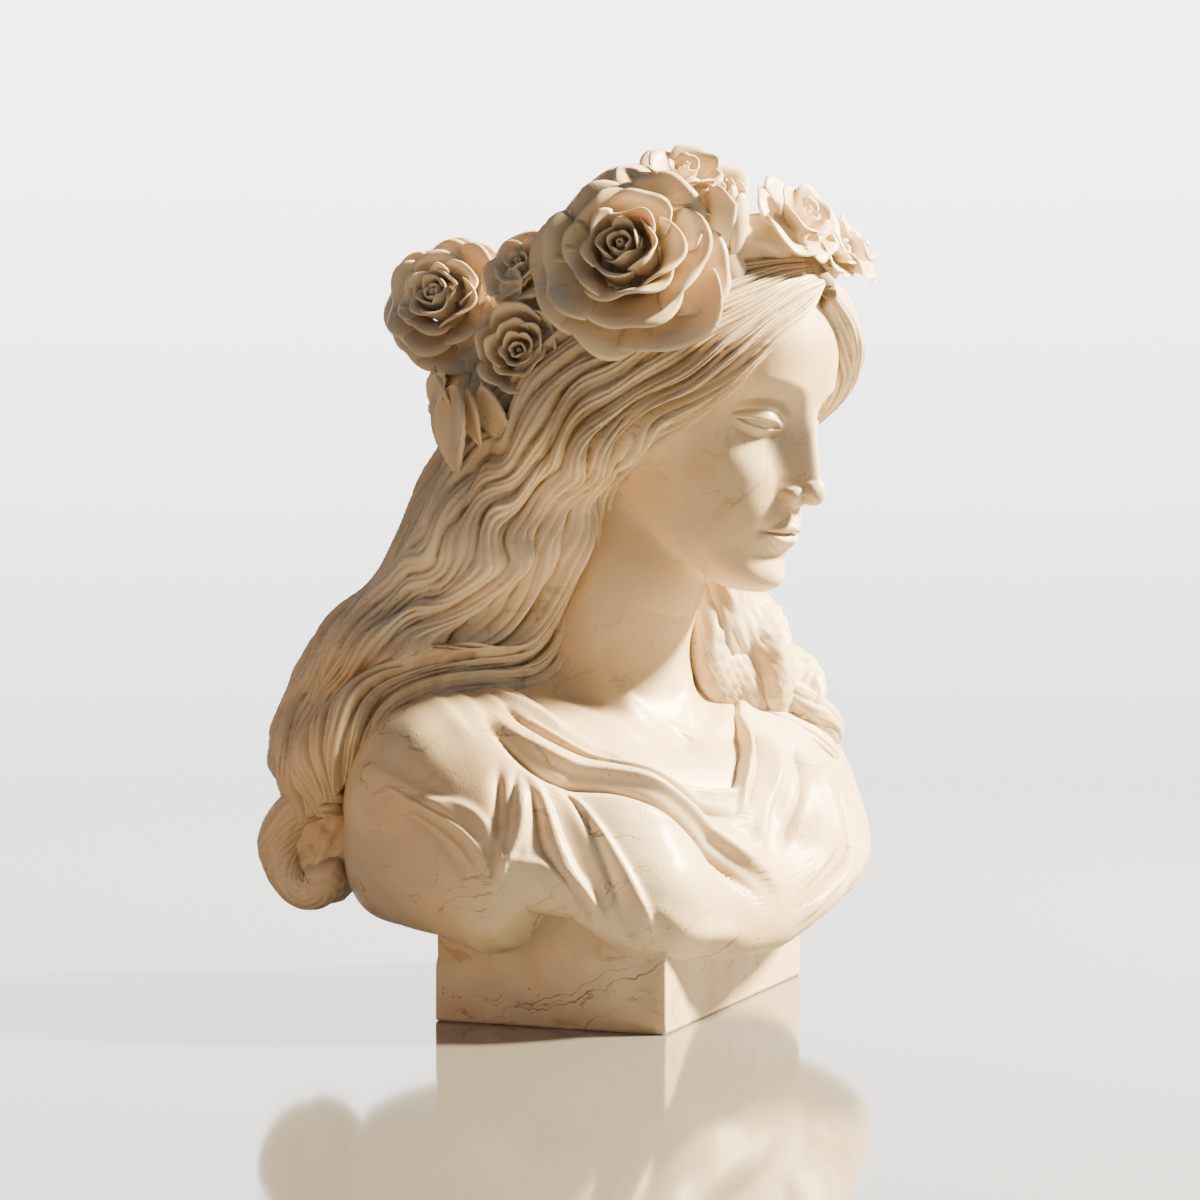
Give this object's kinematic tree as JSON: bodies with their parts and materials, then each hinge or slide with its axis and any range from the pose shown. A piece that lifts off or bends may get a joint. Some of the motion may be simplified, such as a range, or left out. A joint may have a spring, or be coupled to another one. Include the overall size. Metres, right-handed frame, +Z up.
{
  "type": "marble portrait bust with plinth",
  "caption": "Classical marble bust of a young woman with a rose wreath, long wavy hair and draped shoulders, standing on its rectangular plinth.",
  "frame": {"origin": "centre of the plinth's flat underside", "axes": "+Z up, -Y out of the plinth's long front face, +X to the viewer's right of that face"},
  "size_m": [0.4138, 0.4195, 0.5988],
  "materials": {
    "bust": "honed",
    "plinth": "honed"
  },
  "bodies": {
    "root": {"bust": "bust", "plinth": "plinth"}
  },
  "joints": []
}
